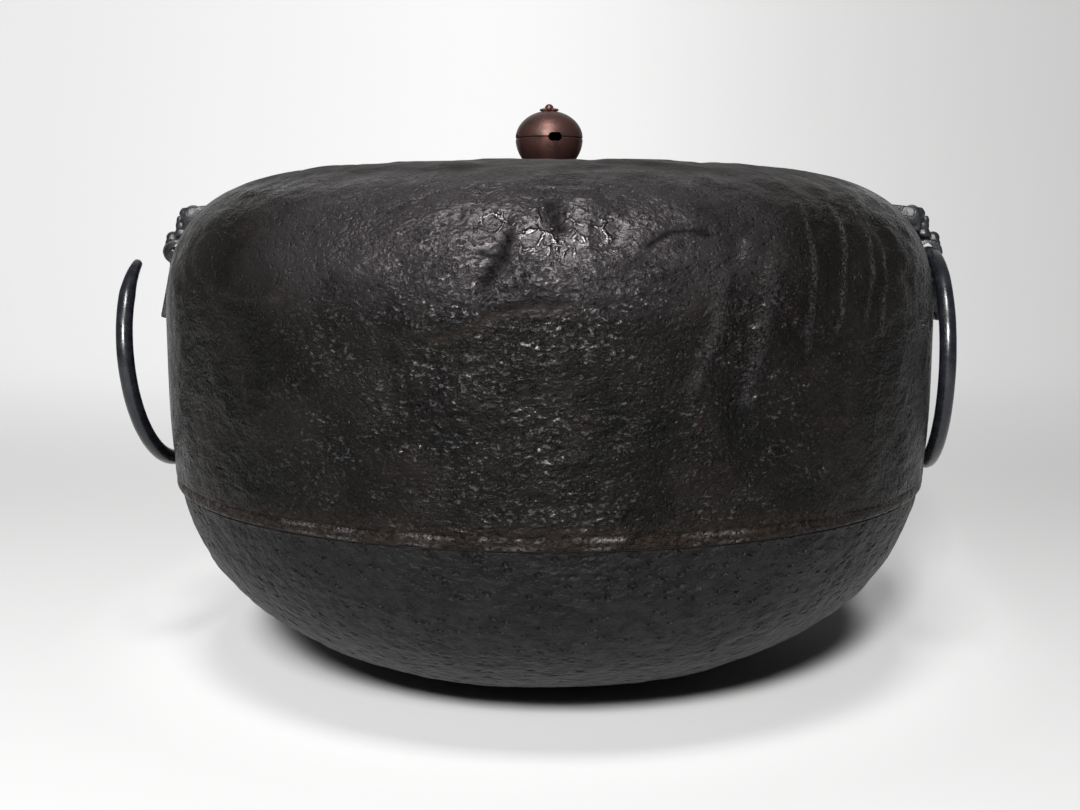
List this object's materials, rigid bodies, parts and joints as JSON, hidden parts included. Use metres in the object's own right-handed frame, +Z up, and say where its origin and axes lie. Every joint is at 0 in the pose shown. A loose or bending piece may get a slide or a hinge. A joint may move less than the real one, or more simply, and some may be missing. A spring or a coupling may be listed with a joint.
{
  "type": "tea kettle",
  "caption": "Low round cast iron tea kettle with a renewed bowl bottom, mask lugs carrying loose open rings, and a drop-in bronze lid with a pierced ball knob.",
  "frame": {"origin": "middle of the flat base, on the floor", "axes": "+Z up along the kettle's axis, the lugs on the X axis, -Y towards the viewer of the picture"},
  "size_m": [0.3186, 0.291, 0.2161],
  "materials": {
    "old_iron": "old cast skin, brown-black, satin, finely pitted",
    "bowl_iron": "matt cast skin, blue-grey, pitted, with rust specks",
    "lug_iron": "worn cast iron, blue-black, satin",
    "ring_iron": "forged iron, blued black, polished",
    "lacquer_cement": "old lacquer and iron filings, dark brown, rough",
    "lid_bronze": "brown patinated bronze, soft sheen",
    "knob_bronze": "brown patinated bronze, rubbed by the fingers"
  },
  "bodies": {
    "kettle": {"upper_shell": "old_iron", "bottom_bowl": "bowl_iron", "seam_cement": "lacquer_cement", "left_lug": "lug_iron", "right_lug": "lug_iron", "singing_irons": "bowl_iron"},
    "lid": {"lid_plate": "lid_bronze", "knob_base_washer": "knob_bronze", "knob_lower_shell": "knob_bronze", "knob_upper_shell": "knob_bronze", "knob_top_washer": "knob_bronze", "knob_rivet": "knob_bronze", "rivet_rove": "knob_bronze"},
    "left_ring": {"left_ring": "ring_iron"},
    "right_ring": {"right_ring": "ring_iron"}
  },
  "joints": [
    {"name": "lid_lift", "type": "slide", "parent": "kettle", "child": "lid", "axis": [0, 0, 1], "range_m": [0, 0.08]},
    {"name": "left_ring_swing", "type": "hinge", "parent": "kettle", "child": "left_ring", "pos_m": [-0.14655, 0, 0.1595], "axis": [0, 1, 0], "range_deg": [0, 150]},
    {"name": "right_ring_swing", "type": "hinge", "parent": "kettle", "child": "right_ring", "pos_m": [0.14655, 0, 0.1595], "axis": [0, -1, 0], "range_deg": [0, 150]}
  ]
}
